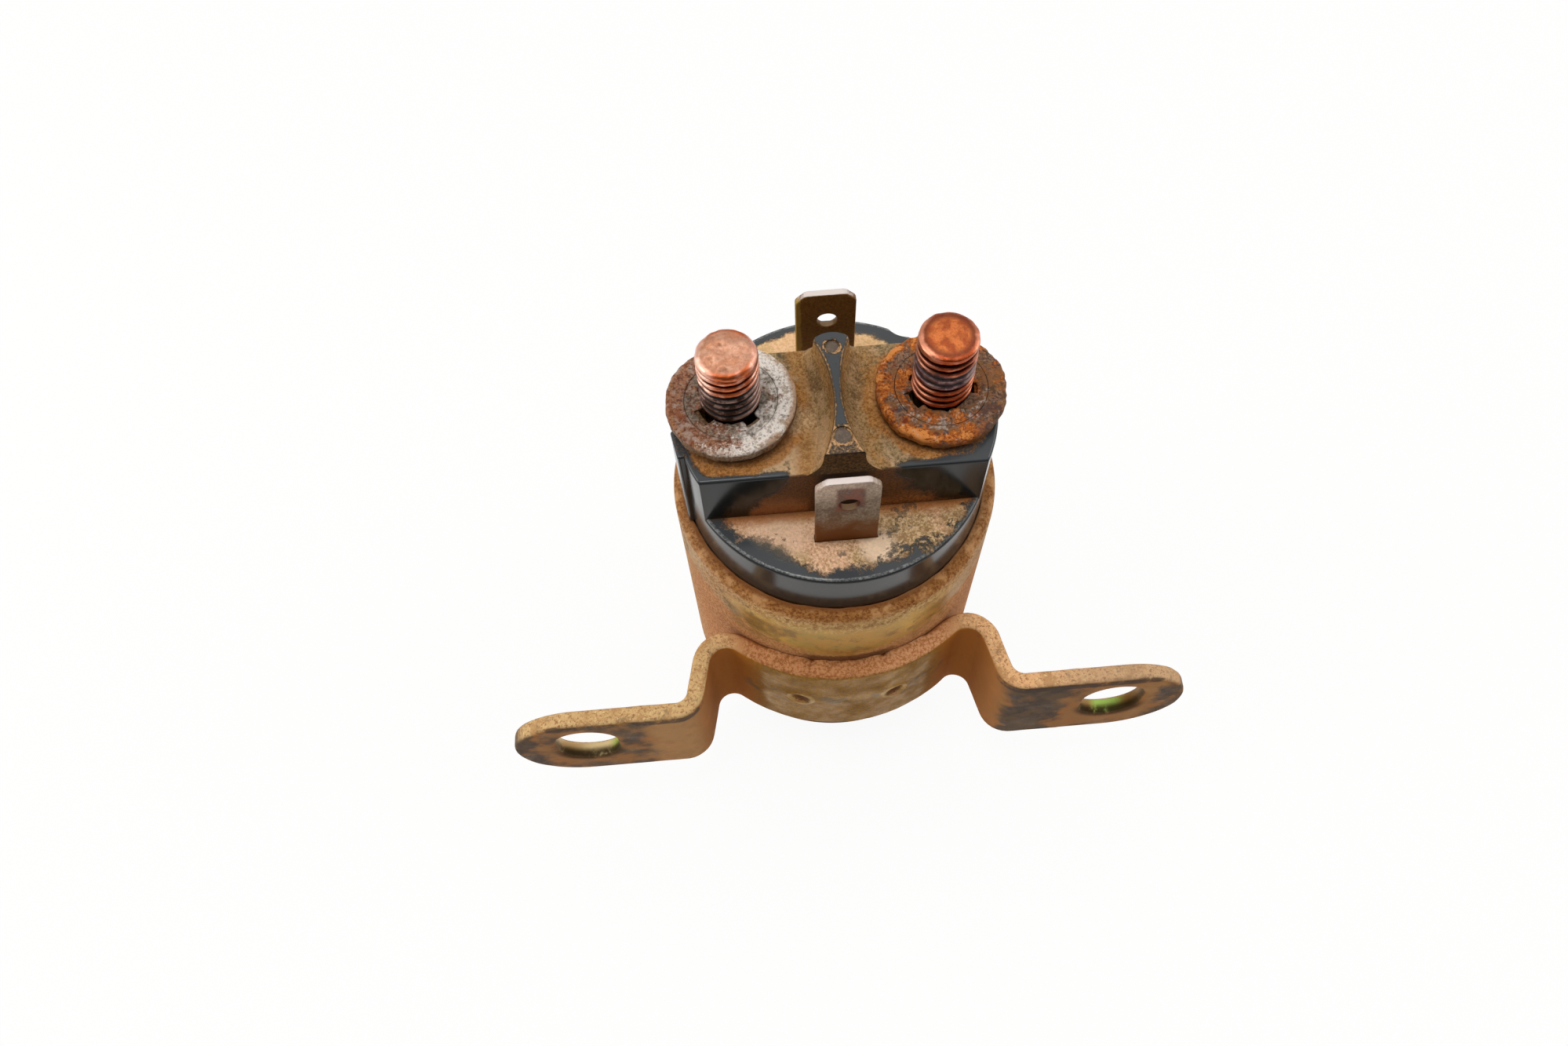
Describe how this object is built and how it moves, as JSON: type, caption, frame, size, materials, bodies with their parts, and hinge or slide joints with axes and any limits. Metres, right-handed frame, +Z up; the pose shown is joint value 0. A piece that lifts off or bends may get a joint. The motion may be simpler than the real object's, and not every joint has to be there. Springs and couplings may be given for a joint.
{
  "type": "starter solenoid",
  "caption": "Weathered starter solenoid: chromated steel can with a welded mounting strap, black terminal cap, copper studs, spade blades, and a sprung plunger and contact bridge inside.",
  "frame": {"origin": "centre of the can's flat base, on the can's axis", "axes": "+Z up the studs, +X along the mounting strap to the right ear, -Y to the front where the ears stand"},
  "size_m": [0.078, 0.0407, 0.061],
  "materials": {
    "chromated_steel": "gold chromated zinc over drawn steel, dusty and stained",
    "black_moulding": "glossy black moulded phenolic with dust in the corners",
    "copper": "bare copper, bright on top and oxidised in the threads",
    "corroded_zinc": "zinc plate with white corrosion and brown patches",
    "rusted_steel": "steel under heavy orange rust",
    "tinned_brass": "dull tinned brass strip",
    "plain_steel": "turned and stamped soft steel",
    "spring_steel": "drawn spring wire",
    "brass_tube": "drawn brass",
    "seal_rubber": "matte rubber and fibre",
    "insulation": "moulded and wound insulation"
  },
  "bodies": {
    "housing": {"can": "chromated_steel", "mounting_strap": "chromated_steel", "terminal_cap": "black_moulding", "left_stud": "copper", "right_stud": "copper", "left_stud_seal": "seal_rubber", "right_stud_seal": "seal_rubber", "left_sealing_washer": "seal_rubber", "right_sealing_washer": "seal_rubber", "left_flat_washer": "corroded_zinc", "right_flat_washer": "rusted_steel", "left_lock_ring": "corroded_zinc", "right_lock_ring": "rusted_steel", "front_blade": "tinned_brass", "rear_blade": "tinned_brass", "front_lead": "copper", "rear_lead": "copper", "front_lead_sleeve": "insulation", "rear_lead_sleeve": "insulation", "cap_gasket": "seal_rubber", "pole_plate": "plain_steel", "fixed_core": "plain_steel", "bobbin": "insulation", "coil_winding": "copper", "cushion_washer": "seal_rubber", "guide_sleeve": "brass_tube", "plunger_bumper": "seal_rubber", "return_spring": "spring_steel"},
    "plunger_assembly": {"plunger": "plain_steel", "plunger_rod": "brass_tube", "rod_collar": "plain_steel", "retaining_clip": "plain_steel", "contact_spring": "spring_steel"},
    "contact_carrier": {"contact_bridge": "copper", "lower_insulator": "insulation", "upper_insulator": "insulation"}
  },
  "joints": [
    {"name": "plunger_stroke", "type": "slide", "parent": "housing", "child": "plunger_assembly", "axis": [0, 0, 1], "range_m": [0, 0.003], "stiffness_N_per_m": 900, "springref_m": -0.002, "deforming": ["return_spring"]},
    {"name": "contact_overtravel", "type": "slide", "parent": "plunger_assembly", "child": "contact_carrier", "axis": [0, 0, 1], "range_m": [-0.0006, 0], "deforming": ["contact_spring"]}
  ],
  "couplings": [
    {"joint": "contact_overtravel", "follows": "plunger_stroke", "ratio": -0.2}
  ]
}
